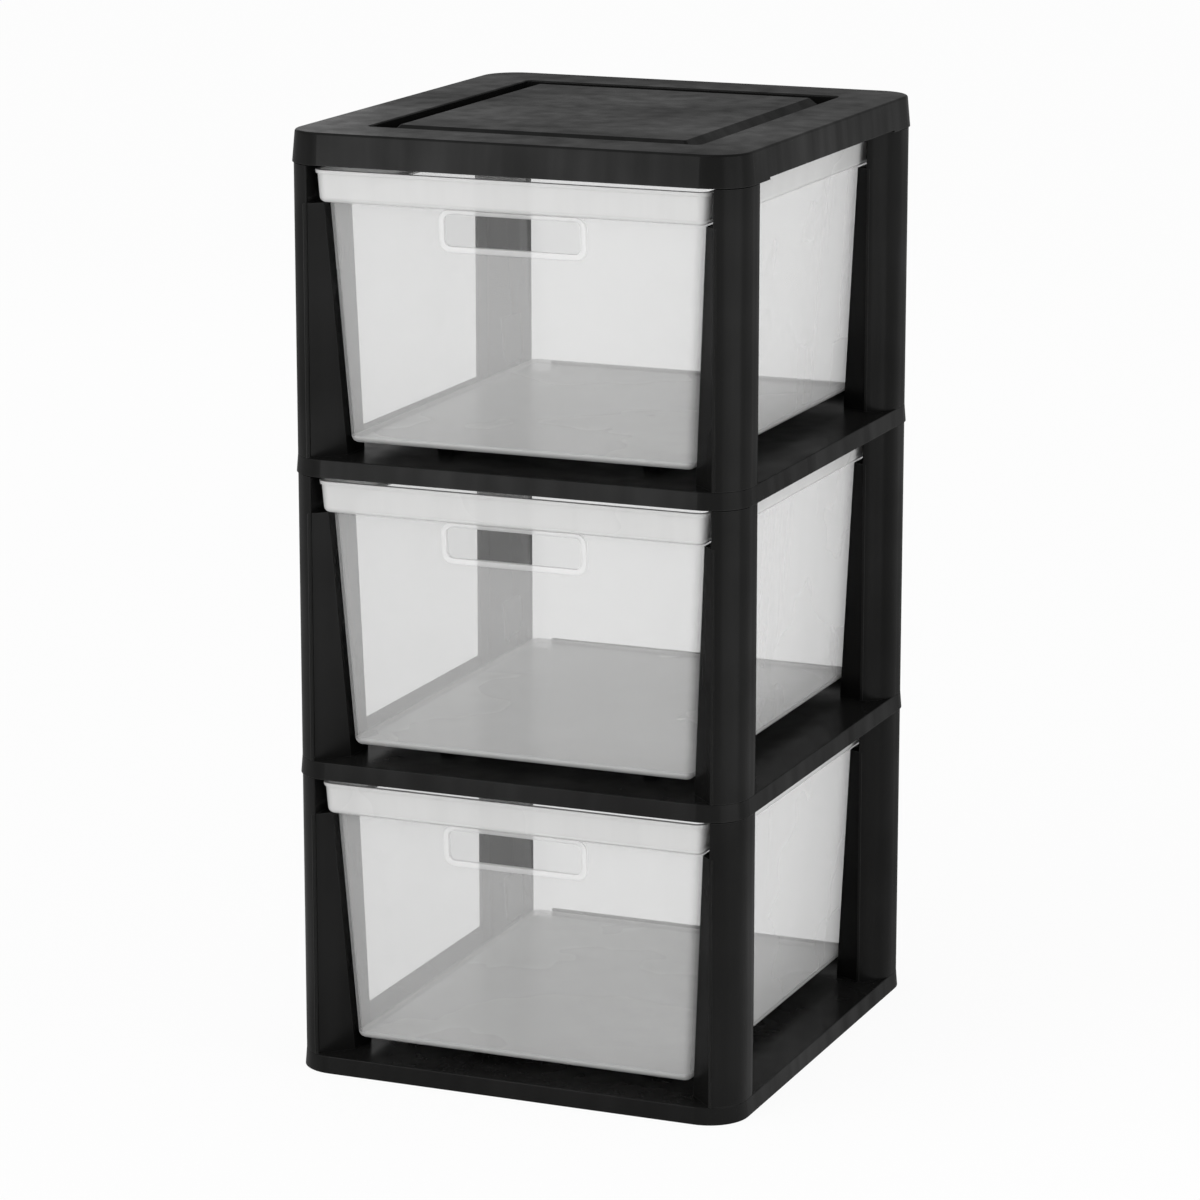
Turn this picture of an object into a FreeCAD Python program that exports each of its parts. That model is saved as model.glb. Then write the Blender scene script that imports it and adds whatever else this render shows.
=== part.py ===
import FreeCAD, Part
import math
import os

# Free-standing three-tier drawer tower, moulded in plastic.
# Frame: +X to the right seen from the front, -Y the front, +Z up.
# Origin: middle of the base's underside, on the floor. All lengths in millimetres.

# Overall size
tower_width = 326.0
tower_depth = 357.0
tower_height = 650.0
tier_count = 3
corner_radius = 28.0

# Frame mouldings: the cover, the base and the two shelves
cover_height = 21.5
cover_draft = 2.0
cover_edge_round = 1.8
shelf_height = 12.0
shelf_draft = 1.0
shelf_edge_round = 0.7
moulding_wall = 2.6
rib_wall = 1.8
rib_depth = 5.0
shelf_rib_count = 4
cut_overrun = 3.0
edge_tolerance = 0.05

# Raised panel and moat of the cover
cover_rim_width = 42.5
moat_depth = 9.0
moat_floor_width = 7.5
panel_side_run = 9.0
moat_corner_radius = 4.0
moat_edge_round = 1.0
skirt_relief_height = 1.5
skirt_relief_end_gap = 56.0

# Two runners on a shelf, under a drawer's floor, and the lip behind it
runner_rise = 8.5
runner_width = 13.0
runner_spacing = 150.0
runner_front_inset = 46.0
runner_rear_gap = 14.0
runner_draft = 1.2
runner_corner_radius = 4.0
runner_edge_round = 0.8
rear_lip_length = 236.0
rear_lip_inset = 1.5

# Corner posts
post_wall = 2.4
post_top_gap = 0.8
column_flat_length = 6.9
column_edge_angle = 19.0
column_edge_round = 0.7
front_web_step = 1.9
rear_web_step = 1.9
rear_web_slope = 0.5
ledge_thickness = 2.4
tenon_clearance = 0.5
tenon_wall = 2.2
tenon_inset = 1.5
rear_stop_overlap_angle = 6.0
peg_radius = 2.6
peg_clearance = 0.1
peg_floor_gap = 0.3
peg_height = 14.0

# Drawers
drawer_wall = 2.0
drawer_floor = 2.2
drawer_floor_gap = 0.3
drawer_head_gap = 3.2
drawer_side_play = 2.4
body_draft_side = 9.6
body_draft_end = 8.8
body_corner_radius = 6.0
body_bottom_round = 4.5
rim_height = 22.0
rim_draft = 1.8
rim_side_overhang = 4.6
rim_end_overhang = 6.2
rim_corner_radius = 8.0
rim_lower_round = 3.6
rim_setback = 2.9
lip_height = 2.6
lip_overhang = 1.2
rim_side_clearance = 4.2
rim_ledge_gap = 0.9
drawer_rear_gap = 4.5

# Hand slot in a drawer's front, with its raised bead
slot_width = 97.0
slot_height = 21.5
slot_drop = 3.4
slot_corner_radius = 4.5
bead_width = 3.8
bead_proud = 1.5

# Rectangular pad near the rear foot of a drawer's side
pad_length = 28.0
pad_height = 33.0
pad_lift = 9.0
pad_rear_gap = 23.0
pad_proud = 0.7
pad_corner_radius = 1.5

# Levels, from the floor up
tier_gap = (tower_height - cover_height - tier_count * shelf_height) / tier_count
tier_pitch = tier_gap + shelf_height
cover_base_level = tower_height - cover_height

# Outline that the posts stand within, flush with a shelf's top edge
post_half_width = tower_width / 2 - shelf_draft
post_half_depth = tower_depth / 2 - shelf_draft
post_corner_radius = corner_radius - shelf_draft
column_centre_u = post_half_width - post_corner_radius
column_centre_v = post_half_depth - post_corner_radius

# Drawer outline: half width and the front and rear faces at its main levels
drawer_height = tier_gap - runner_rise - drawer_floor_gap - drawer_head_gap
rim_base = drawer_height - rim_height
column_edge_u = column_centre_u + post_corner_radius * math.sin(math.radians(column_edge_angle))
column_edge_reach = post_corner_radius * math.cos(math.radians(column_edge_angle))
rim_half_width = column_edge_u - rim_side_clearance
rim_front = -(post_half_depth - rim_setback) + rim_draft / 2
rim_rear = post_half_depth - post_wall - drawer_rear_gap
body_half_width = rim_half_width - rim_draft - rim_side_overhang
body_front = rim_front + rim_draft + rim_end_overhang
body_rear = rim_rear - rim_draft - rim_end_overhang
floor_half_width = body_half_width - body_draft_side
floor_front = body_front + body_draft_end
floor_rear = body_rear - body_draft_end

# Faces of a post that follow the drawer, measured from a post's foot
ledge_level = runner_rise + drawer_floor_gap + rim_base - rim_ledge_gap
guide_slope = body_draft_side / rim_base
guide_top_u = body_half_width + drawer_side_play
guide_foot_u = guide_top_u - ledge_level * guide_slope
column_rear_v = column_centre_v - column_flat_length
front_edge_v = column_centre_v + column_edge_reach
rear_edge_v = column_rear_v - column_edge_reach
post_height = tier_gap - post_top_gap
tenon_height = post_top_gap + shelf_height - moulding_wall


def point(x, y, z):
    return FreeCAD.Vector(x, y, z)


def rounded_outline(x_low, x_high, y_low, y_high, radius, z):
    """Closed wire of a rectangle with round corners, at one level."""
    bend = radius * math.sqrt(0.5)
    corners = [
        (x_high - radius, y_low + radius, 1, -1),
        (x_high - radius, y_high - radius, 1, 1),
        (x_low + radius, y_high - radius, -1, 1),
        (x_low + radius, y_low + radius, -1, -1),
    ]
    edges = []
    first = None
    last = None
    for index, (cx, cy, sx, sy) in enumerate(corners):
        along_x = point(cx, cy + sy * radius, z)
        along_y = point(cx + sx * radius, cy, z)
        start, end = (along_x, along_y) if index % 2 == 0 else (along_y, along_x)
        if last is not None:
            edges.append(Part.LineSegment(last, start).toShape())
        else:
            first = start
        edges.append(Part.Arc(start, point(cx + sx * bend, cy + sy * bend, z), end).toShape())
        last = end
    edges.append(Part.LineSegment(last, first).toShape())
    return Part.Wire(edges)


def tapered_block(low, high, z_low, z_high):
    """Solid between two rounded outlines, each (x_low, x_high, y_low, y_high, radius)."""
    return Part.makeLoft([rounded_outline(*low, z_low), rounded_outline(*high, z_high)], True, True)


def centred(half_x, half_y, radius):
    return (-half_x, half_x, -half_y, half_y, radius)


def box(x_low, x_high, y_low, y_high, z_low, z_high):
    return Part.makeBox(x_high - x_low, y_high - y_low, z_high - z_low, point(x_low, y_low, z_low))


def prism_along_y(profile, y_low, y_high):
    """Solid with an X-Z profile, drawn out along Y."""
    points = [point(x, y_low, z) for x, z in profile]
    face = Part.Face(Part.makePolygon(points + points[:1]))
    return face.extrude(point(0, y_high - y_low, 0))


def prism_along_x(profile, x_low, x_high):
    """Solid with a Y-Z profile, drawn out along X."""
    points = [point(x_low, y, z) for y, z in profile]
    face = Part.Face(Part.makePolygon(points + points[:1]))
    return face.extrude(point(x_high - x_low, 0, 0))


def level_edges(shape, z):
    """Edges of a shape that lie wholly at one level."""
    return [e for e in shape.Edges
            if abs(e.BoundBox.ZMin - z) < edge_tolerance and abs(e.BoundBox.ZMax - z) < edge_tolerance]


def round_level(shape, z, radius, keep=None):
    """Rounds the edges at one level, or those of them that keep() picks."""
    edges = level_edges(shape, z)
    if keep is not None:
        edges = [e for e in edges if keep(e.BoundBox)]
    return shape.makeFillet(radius, edges)


def front_web_v(u, inset):
    """Plan line of a post's outward web, at 45 degrees, less an inset into the post."""
    return front_edge_v - front_web_step + (u - column_edge_u) - inset * math.sqrt(2)


def rear_web_v(u, inset):
    """Plan line of a post's web on the side away from the tower's end, less an inset."""
    drop = inset * math.hypot(1, rear_web_slope)
    return rear_edge_v + rear_web_step - (u - column_edge_u) * rear_web_slope + drop


def peg_places():
    """Plan places (u, v) of a post's two foot pegs, on the inner faces of its two webs."""
    inset = post_wall + peg_radius / 2
    front_u = (guide_foot_u + column_edge_u) / 2 + peg_radius
    rear_u = column_edge_u - peg_radius
    return [(front_u, front_web_v(front_u, inset)), (rear_u, rear_web_v(rear_u, inset))]


def mirrored(shape, side_sign, end_sign):
    """Copy of a piece drawn in the quadrant of +X and +Y, turned into another quadrant."""
    matrix = FreeCAD.Matrix()
    matrix.A11 = side_sign
    matrix.A22 = end_sign
    copy = shape.transformGeometry(matrix)
    return copy if copy.Volume > 0 else copy.reversed()


# Cover
def cover_shell():
    """Drafted skirt and flat top, hollow underneath, without its moat."""
    half_x = tower_width / 2
    half_y = tower_depth / 2
    top_x = half_x - cover_draft
    top_y = half_y - cover_draft
    outer = tapered_block(centred(half_x, half_y, corner_radius),
                          centred(top_x, top_y, corner_radius - cover_draft), 0, cover_height)
    outer = round_level(outer, cover_height, cover_edge_round)
    ceiling = cover_height - moulding_wall
    slope = cover_draft / cover_height
    low_inset = moulding_wall - cut_overrun * slope
    high_inset = moulding_wall + ceiling * slope
    hollow = tapered_block(
        centred(half_x - low_inset, half_y - low_inset, corner_radius - low_inset),
        centred(half_x - high_inset, half_y - high_inset, corner_radius - high_inset),
        -cut_overrun, ceiling)
    return outer.cut(hollow)


def moat_block(inset, z_low, z_high, radius):
    """Upright block as wide as the moat, less an inset all round."""
    half_x = tower_width / 2 - cover_draft - cover_rim_width - inset
    half_y = tower_depth / 2 - cover_draft - cover_rim_width - inset
    return tapered_block(centred(half_x, half_y, radius), centred(half_x, half_y, radius), z_low, z_high)


def panel_block(inset, z_low, z_high):
    """Truncated pyramid of the raised panel, less an inset all round."""
    rise = moat_depth
    foot_x = tower_width / 2 - cover_draft - cover_rim_width - moat_floor_width - inset
    foot_y = tower_depth / 2 - cover_draft - cover_rim_width - moat_floor_width - inset
    base = cover_height - rise

    def at(level):
        run = panel_side_run * (level - base) / rise
        return centred(foot_x - run, foot_y - run, moat_corner_radius / 2)

    return tapered_block(at(z_low), at(z_high), z_low, z_high)


def make_cover():
    floor_level = cover_height - moat_depth
    shell = cover_shell()
    tray = moat_block(-moulding_wall, floor_level - moulding_wall, cover_height - moulding_wall / 2,
                      moat_corner_radius + moulding_wall)
    moat = moat_block(0, floor_level, cover_height + cut_overrun, moat_corner_radius)
    shell = shell.fuse(tray).cut(moat)
    panel = panel_block(0, floor_level - moulding_wall / 2, cover_height)
    panel_hollow = panel_block(moulding_wall, floor_level - moulding_wall - cut_overrun,
                               cover_height - moulding_wall)
    shell = shell.fuse(panel).cut(panel_hollow)

    def moat_rim(bounds):
        middle = bounds.Center
        inside_x = abs(middle.x) < tower_width / 2 - cover_draft - cover_rim_width + moulding_wall
        inside_y = abs(middle.y) < tower_depth / 2 - cover_draft - cover_rim_width + moulding_wall
        return inside_x and inside_y

    shell = shell.removeSplitter()
    shell = round_level(shell, cover_height, moat_edge_round, moat_rim)
    relief_half = tower_depth / 2 - skirt_relief_end_gap
    for side in (-1, 1):
        middle = side * tower_width / 2
        shell = shell.cut(box(middle - 2 * moulding_wall, middle + 2 * moulding_wall,
                              -relief_half, relief_half, -cut_overrun, skirt_relief_height))
    for rib in cover_ribs(floor_level):
        shell = shell.fuse(rib)
    shell = shell.removeSplitter()
    shell.translate(point(0, 0, cover_base_level))
    return shell


def cover_ribs(floor_level):
    """Crossed ribs over each post's tenon, and straight ribs from the skirt to the moat."""
    low = tenon_height - post_top_gap
    high = cover_height - moulding_wall / 2
    reach_x = tower_width / 2 - moulding_wall / 2 - cover_draft
    reach_y = tower_depth / 2 - moulding_wall / 2 - cover_draft
    moat_x = tower_width / 2 - cover_draft - cover_rim_width + moulding_wall / 2
    moat_y = tower_depth / 2 - cover_draft - cover_rim_width + moulding_wall / 2
    rib_u = (tenon_low_u() + tenon_high_u()) / 2
    rib_v = (tenon_low_v() + tenon_high_v()) / 2
    half = rib_wall / 2
    ribs = []
    for side in (-1, 1):
        for end in (-1, 1):
            inner_x, outer_x = sorted((side * moat_x, side * reach_x))
            ribs.append(box(inner_x, outer_x, end * rib_v - half, end * rib_v + half, low, high))
            inner_y, outer_y = sorted((end * moat_y, end * reach_y))
            ribs.append(box(side * rib_u - half, side * rib_u + half, inner_y, outer_y, low, high))
        span_x = sorted((side * moat_x, side * reach_x))
        span_y = sorted((side * moat_y, side * reach_y))
        ribs.append(box(span_x[0], span_x[1], -half, half, floor_level, high))
        ribs.append(box(-half, half, span_y[0], span_y[1], floor_level, high))
    outline = tapered_block(
        centred(tower_width / 2 - cover_draft, tower_depth / 2 - cover_draft, corner_radius - cover_draft),
        centred(tower_width / 2 - cover_draft, tower_depth / 2 - cover_draft, corner_radius - cover_draft),
        0, cover_height)
    return [rib.common(outline) for rib in ribs]


# Shelves and base
def runner_outline(side, inset, radius):
    """Plan of one runner, less an inset all round."""
    middle = side * runner_spacing / 2
    half = runner_width / 2 - inset
    front = floor_front + runner_front_inset + inset
    rear = tower_depth / 2 - shelf_draft - runner_rear_gap - inset
    return (middle - half, middle + half, front, rear, radius)


def make_shelf(tier):
    """Flat plate with a drafted skirt, two runners, a rear lip, ribs below and peg holes."""
    half_x = tower_width / 2
    half_y = tower_depth / 2
    shelf = tapered_block(centred(half_x, half_y, corner_radius),
                          centred(half_x - shelf_draft, half_y - shelf_draft, corner_radius - shelf_draft),
                          0, shelf_height)
    shelf = round_level(shelf, shelf_height, shelf_edge_round)
    slope = shelf_draft / shelf_height
    ceiling = shelf_height - moulding_wall
    low_inset = moulding_wall - cut_overrun * slope
    high_inset = moulding_wall + ceiling * slope
    hollow = tapered_block(
        centred(half_x - low_inset, half_y - low_inset, corner_radius - low_inset),
        centred(half_x - high_inset, half_y - high_inset, corner_radius - high_inset),
        -cut_overrun, ceiling)
    shelf = shelf.cut(hollow)
    runner_top = shelf_height + runner_rise
    inner_wall = moulding_wall + runner_draft / 2
    for side in (-1, 1):
        runner = tapered_block(runner_outline(side, 0, runner_corner_radius),
                               runner_outline(side, runner_draft, runner_corner_radius - runner_draft),
                               shelf_height - moulding_wall / 2, runner_top)
        runner = round_level(runner, runner_top, runner_edge_round)
        groove = tapered_block(runner_outline(side, moulding_wall, runner_corner_radius / 2),
                               runner_outline(side, inner_wall, runner_corner_radius / 2),
                               ceiling - cut_overrun, runner_top - moulding_wall)
        shelf = shelf.fuse(runner).cut(groove)
    lip_back = half_y - shelf_draft - rear_lip_inset
    lip = box(-rear_lip_length / 2, rear_lip_length / 2, lip_back - moulding_wall, lip_back,
              shelf_height - moulding_wall / 2, runner_top)
    shelf = shelf.fuse(lip)
    for rib in shelf_ribs(ceiling):
        shelf = shelf.fuse(rib)
    for u, v in peg_places():
        for side in (-1, 1):
            for end in (-1, 1):
                hole = Part.makeCylinder(peg_radius + peg_clearance, moulding_wall + 2 * cut_overrun,
                                         point(side * u, end * v, ceiling - cut_overrun))
                shelf = shelf.cut(hole)
    shelf = shelf.removeSplitter()
    shelf.translate(point(0, 0, tier * tier_pitch))
    return shelf


def shelf_ribs(ceiling):
    """Cross ribs under the plate, clear of the posts, and one rib along its middle."""
    reach_x = tower_width / 2 - moulding_wall / 2 - shelf_draft
    reach_y = tower_depth / 2 - moulding_wall / 2 - shelf_draft
    span = 2 * (rear_edge_v - post_wall)
    step = span / (shelf_rib_count + 1)
    low = ceiling - rib_depth
    high = ceiling + moulding_wall / 2
    half = rib_wall / 2
    places = [-span / 2 + step * (i + 1) for i in range(shelf_rib_count)]
    inner_x = runner_spacing / 2 - runner_width / 2 + moulding_wall / 2
    outer_x = runner_spacing / 2 + runner_width / 2 - moulding_wall / 2
    ribs = []
    for y in places:
        ribs.append(box(-inner_x, inner_x, y - half, y + half, low, high))
        for x_low, x_high in ((-reach_x, -outer_x), (outer_x, reach_x)):
            ribs.append(box(x_low, x_high, y - half, y + half, low, high))
    ribs.append(box(-half, half, -reach_y, reach_y, low, high))
    return ribs


# Posts, drawn in the quadrant of +X and +Y, where v runs along Y towards the front or the back
def tenon_inset_total():
    """How far a tenon stands inside the post's outer face, to clear the skirt around it."""
    return cover_draft + moulding_wall + tenon_clearance - shelf_draft


def tenon_low_u():
    return column_edge_u + tenon_inset


def tenon_high_u():
    return post_half_width - tenon_inset_total()


def tenon_low_v():
    return column_rear_v - (post_corner_radius - tenon_inset_total())


def tenon_high_v():
    return column_centre_v + (post_corner_radius - tenon_inset_total())


def column_section(inset, chord_u, z_low, z_high):
    """Half-round column: two corner arcs joined by a flat, closed by a chord, less an inset."""
    radius = post_corner_radius - inset
    reach = math.sqrt(radius ** 2 - (chord_u - column_centre_u) ** 2)
    bend = radius * math.sqrt(0.5)
    flat_u = column_centre_u + radius
    front = point(chord_u, column_centre_v + reach, z_low)
    front_end = point(flat_u, column_centre_v, z_low)
    rear_end = point(flat_u, column_rear_v, z_low)
    rear = point(chord_u, column_rear_v - reach, z_low)
    front_bend = point(column_centre_u + bend, column_centre_v + bend, z_low)
    rear_bend = point(column_centre_u + bend, column_rear_v - bend, z_low)
    wire = Part.Wire([
        Part.Arc(front, front_bend, front_end).toShape(),
        Part.LineSegment(front_end, rear_end).toShape(),
        Part.Arc(rear_end, rear_bend, rear).toShape(),
        Part.LineSegment(rear, front).toShape(),
    ])
    return Part.Face(wire).extrude(point(0, 0, z_high - z_low))


def guide_block(inset, z_low, z_high):
    """Block between a post's two webs, with an inner face that leans with the drawer's side."""
    outer_u = column_edge_u + post_wall

    def ring(z):
        inner_u = guide_foot_u + guide_slope * z + inset
        corners = [(inner_u, front_web_v(inner_u, inset)), (outer_u, front_web_v(outer_u, inset)),
                   (outer_u, rear_web_v(outer_u, inset)), (inner_u, rear_web_v(inner_u, inset))]
        points = [point(u, v, z) for u, v in corners]
        return Part.makePolygon(points + points[:1])

    return Part.makeLoft([ring(z_low), ring(z_high)], True, True)


def column():
    """The outer column with its two long edges rounded."""
    solid = column_section(0, column_edge_u, 0, post_height)
    edges = [e for e in solid.Edges
             if abs(e.BoundBox.XMax - column_edge_u) < edge_tolerance and e.BoundBox.ZLength > post_height / 2]
    return solid.makeFillet(column_edge_round, edges)


def tenon():
    """Collar on top of a post that goes up inside the skirt above it."""
    low = post_height - ledge_thickness
    high = post_height + tenon_height
    inset = tenon_inset_total()
    block = column_section(inset, tenon_low_u(), low, high)
    hollow = column_section(inset + tenon_wall, tenon_low_u() + tenon_wall,
                            low - cut_overrun, high + cut_overrun)
    seat = column_section(post_wall / 2, column_edge_u + post_wall / 2, low, post_height)
    return seat.fuse(block).cut(hollow)


def foot_pegs():
    """Pegs that drop into the plate below, and their stems inside the post."""
    length = moulding_wall - peg_floor_gap
    return [Part.makeCylinder(peg_radius, length + peg_height, point(u, v, -length))
            for u, v in peg_places()]


def rear_stop():
    """The corner arc carried on across the back of a rear post, behind the drawer's rim."""
    start = math.radians(column_edge_angle + rear_stop_overlap_angle)
    inner = post_corner_radius - post_wall

    def on_arc(radius, angle):
        return point(column_centre_u + radius * math.sin(angle),
                     column_centre_v + radius * math.cos(angle), 0)

    wire = Part.Wire([
        Part.Arc(on_arc(post_corner_radius, 0), on_arc(post_corner_radius, start / 2),
                 on_arc(post_corner_radius, start)).toShape(),
        Part.LineSegment(on_arc(post_corner_radius, start), on_arc(inner, start)).toShape(),
        Part.Arc(on_arc(inner, start), on_arc(inner, start / 2), on_arc(inner, 0)).toShape(),
        Part.LineSegment(on_arc(inner, 0), on_arc(post_corner_radius, 0)).toShape(),
    ])
    return Part.Face(wire).extrude(point(0, 0, post_height))


def make_post(tier, side, end):
    """One post: side is -1 on the left and 1 on the right, end is -1 in front and 1 behind."""
    hollow_top = ledge_level - ledge_thickness
    chord_u = column_edge_u + post_wall
    post = column().fuse(guide_block(0, 0, ledge_level))
    if end > 0:
        post = post.fuse(rear_stop())
    post = post.cut(guide_block(post_wall, -cut_overrun, hollow_top))
    post = post.cut(column_section(post_wall, chord_u, -cut_overrun, hollow_top))
    post = post.cut(column_section(post_wall, chord_u, ledge_level, post_height + cut_overrun))
    post = post.fuse(tenon())
    for peg in foot_pegs():
        post = post.fuse(peg)
    post = post.removeSplitter()
    post = mirrored(post, side, end)
    post.translate(point(0, 0, tier * tier_pitch + shelf_height))
    return post


# Drawers
def tub_outline(level, inset):
    """Outline of a drawer's body at a level above its floor's underside, less an inset."""
    share = level / rim_base
    half_x = floor_half_width + body_draft_side * share - inset
    front = floor_front - body_draft_end * share + inset
    rear = floor_rear + body_draft_end * share - inset
    return (-half_x, half_x, front, rear, max(body_corner_radius - inset, drawer_wall))


def rim_outline(level, inset):
    """Outline of a drawer's rim at a level above its floor's underside, less an inset."""
    share = (level - rim_base) / rim_height
    growth = rim_draft * (share - 1) - inset
    return (-rim_half_width - growth, rim_half_width + growth, rim_front - growth, rim_rear + growth,
            max(rim_corner_radius - inset, drawer_wall))


def front_slab(outer_offset, inner_offset, half_x, z_low, z_high):
    """Slab that lies along the leaning front wall between two offsets from its outer face."""
    def face_y(level):
        return floor_front - body_draft_end * level / rim_base

    profile = [(face_y(z_low) - outer_offset, z_low), (face_y(z_high) - outer_offset, z_high),
               (face_y(z_high) + inner_offset, z_high), (face_y(z_low) + inner_offset, z_low)]
    return prism_along_x(profile, -half_x, half_x)


def slot_prism(margin, z_low, z_high, radius):
    """Upright rounded rectangle round the hand slot, drawn through the front wall along Y."""
    half = slot_width / 2 + margin
    depth = body_draft_end + rim_end_overhang + 2 * cut_overrun
    flat = tapered_block((-half, half, z_low, z_high, radius), (-half, half, z_low, z_high, radius),
                         0, depth)
    flat.rotate(point(0, 0, 0), point(1, 0, 0), 90)
    flat.translate(point(0, body_front - bead_proud - cut_overrun + depth, 0))
    return flat


def side_pad(side):
    """Shallow rectangular pad on the leaning side wall, near the rear foot."""
    def face_x(level):
        return floor_half_width + body_draft_side * level / rim_base

    low = pad_lift
    high = pad_lift + pad_height
    profile = [(face_x(low) - drawer_wall / 2, low), (face_x(low) + pad_proud, low),
               (face_x(high) + pad_proud, high), (face_x(high) - drawer_wall / 2, high)]
    rear = floor_rear - pad_rear_gap
    pad = prism_along_y(profile, rear - pad_length, rear)
    upright = tapered_block((rear - pad_length, rear, low, high, pad_corner_radius),
                            (rear - pad_length, rear, low, high, pad_corner_radius),
                            0, tower_width)
    upright.rotate(point(0, 0, 0), point(1, 1, 1), 120)
    pad = pad.common(upright)
    return pad if side > 0 else mirrored(pad, -1, 1)


def make_drawer(tier):
    """Tapered tub with a proud rim, a hand slot in front and a pad low on each side."""
    top = drawer_height
    shoulder = rim_base + drawer_wall
    body = tapered_block(tub_outline(0, 0), tub_outline(shoulder, 0), 0, shoulder)
    body = round_level(body, 0, body_bottom_round)
    rim = tapered_block(rim_outline(rim_base, 0), rim_outline(top, 0), rim_base, top)
    rim = round_level(rim, rim_base, rim_lower_round)
    lip = tapered_block(rim_outline(top, -lip_overhang), rim_outline(top, -lip_overhang),
                        top - lip_height, top)
    hollow_low = drawer_floor
    hollow = tapered_block(tub_outline(hollow_low, drawer_wall), tub_outline(shoulder, drawer_wall),
                           hollow_low, shoulder)
    hollow = round_level(hollow, hollow_low, body_bottom_round - drawer_wall)
    rim_hollow = tapered_block(rim_outline(shoulder, drawer_wall),
                               rim_outline(top, drawer_wall), shoulder, top + cut_overrun)
    drawer = body.fuse(rim).fuse(lip)
    for side in (-1, 1):
        drawer = drawer.fuse(side_pad(side))
    slot_high = rim_base - slot_drop
    slot_low = slot_high - slot_height
    bead = slot_prism(bead_width, slot_low - bead_width, rim_base + drawer_wall / 2,
                      slot_corner_radius + bead_width)
    bead = bead.common(front_slab(bead_proud, drawer_wall / 2, tower_width / 2,
                                  slot_low - 2 * bead_width, rim_base + drawer_wall / 2))
    drawer = drawer.fuse(bead).cut(hollow).cut(rim_hollow)
    drawer = drawer.cut(slot_prism(0, slot_low, slot_high, slot_corner_radius))
    drawer = drawer.removeSplitter()
    drawer.translate(point(0, 0, tier * tier_pitch + shelf_height + runner_rise + drawer_floor_gap))
    return drawer


def build():
    """Every piece of the tower, by name."""
    pieces = {"top_cover": make_cover()}
    shelf_names = ["base_shelf", "lower_shelf", "upper_shelf"]
    tier_names = ["bottom", "middle", "top"]
    for tier in range(tier_count):
        pieces[shelf_names[tier]] = make_shelf(tier)
        pieces[tier_names[tier] + "_drawer"] = make_drawer(tier)
        for end_name, end in (("front", -1), ("rear", 1)):
            for side_name, side in (("left", -1), ("right", 1)):
                name = "_".join((tier_names[tier], end_name, side_name, "post"))
                pieces[name] = make_post(tier, side, end)
    return pieces


os.makedirs("parts", exist_ok=True)
for piece_name, piece in build().items():
    solid = piece.Solids[0] if len(piece.Solids) == 1 else piece
    bounds = solid.BoundBox
    print(piece_name, "solids", len(piece.Solids), "valid", solid.isValid(),
          "volume", round(solid.Volume), "z", round(bounds.ZMin, 1), round(bounds.ZMax, 1))
    solid.exportStep("parts/" + piece_name + ".step")
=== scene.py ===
"""Looks of the plastic drawer tower: black moulded frame and three hazy clear drawers.

Lengths are in metres and angles in degrees. X points right, Y to the rear and Z up.
"""

import logging
import math
from collections.abc import Callable
from dataclasses import dataclass, field
from enum import Enum

import bmesh
import bpy
from mathutils import Matrix, Vector


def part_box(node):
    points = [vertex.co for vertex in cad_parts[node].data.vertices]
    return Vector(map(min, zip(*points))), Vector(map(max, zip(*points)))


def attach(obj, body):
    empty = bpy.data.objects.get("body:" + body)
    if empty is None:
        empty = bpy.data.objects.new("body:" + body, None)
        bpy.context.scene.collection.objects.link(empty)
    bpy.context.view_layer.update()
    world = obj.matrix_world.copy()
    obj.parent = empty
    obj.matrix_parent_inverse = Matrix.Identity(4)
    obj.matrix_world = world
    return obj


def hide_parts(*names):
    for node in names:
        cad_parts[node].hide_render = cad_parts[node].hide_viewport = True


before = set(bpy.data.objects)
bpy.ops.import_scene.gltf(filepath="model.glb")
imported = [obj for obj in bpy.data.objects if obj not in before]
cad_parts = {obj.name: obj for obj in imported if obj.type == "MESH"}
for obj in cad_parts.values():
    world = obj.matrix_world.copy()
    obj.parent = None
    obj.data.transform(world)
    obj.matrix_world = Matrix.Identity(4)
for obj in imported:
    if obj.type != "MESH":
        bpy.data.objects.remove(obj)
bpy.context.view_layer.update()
WHITE = (1.0, 1.0, 1.0, 1.0)
FACES_ALONG = 0.5  # least share of a normal along an axis for a face to count as looking that way
log = logging.getLogger("drawer_tower")


class Tier(Enum):
    """The three drawers, from the floor up."""

    BOTTOM = "bottom"
    MIDDLE = "middle"
    TOP = "top"


class Ray(Enum):
    """Kinds of ray that see the backdrop itself rather than the light that it gives."""

    CAMERA = "Is Camera Ray"
    GLOSSY = "Is Glossy Ray"
    TRANSMISSION = "Is Transmission Ray"


def link_object(obj: bpy.types.Object) -> bpy.types.Object:
    """Puts an object in the scene.

    Args:
        obj: The new object.

    Returns:
        The same object.
    """
    bpy.context.scene.collection.objects.link(obj)
    return obj


def new_material(name: str) -> tuple[bpy.types.Material, bpy.types.ShaderNode]:
    """Makes a material that holds one Principled shader.

    Args:
        name: Name of the material.

    Returns:
        The material and its shader node.
    """
    material = bpy.data.materials.new(name)
    material.use_nodes = True
    return material, material.node_tree.nodes["Principled BSDF"]


def dress(obj: bpy.types.Object, material: bpy.types.Material) -> None:
    """Gives an object one material in place of any it had.

    Args:
        obj: The object to dress.
        material: Its finish.
    """
    obj.data.materials.clear()
    obj.data.materials.append(material)


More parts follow.
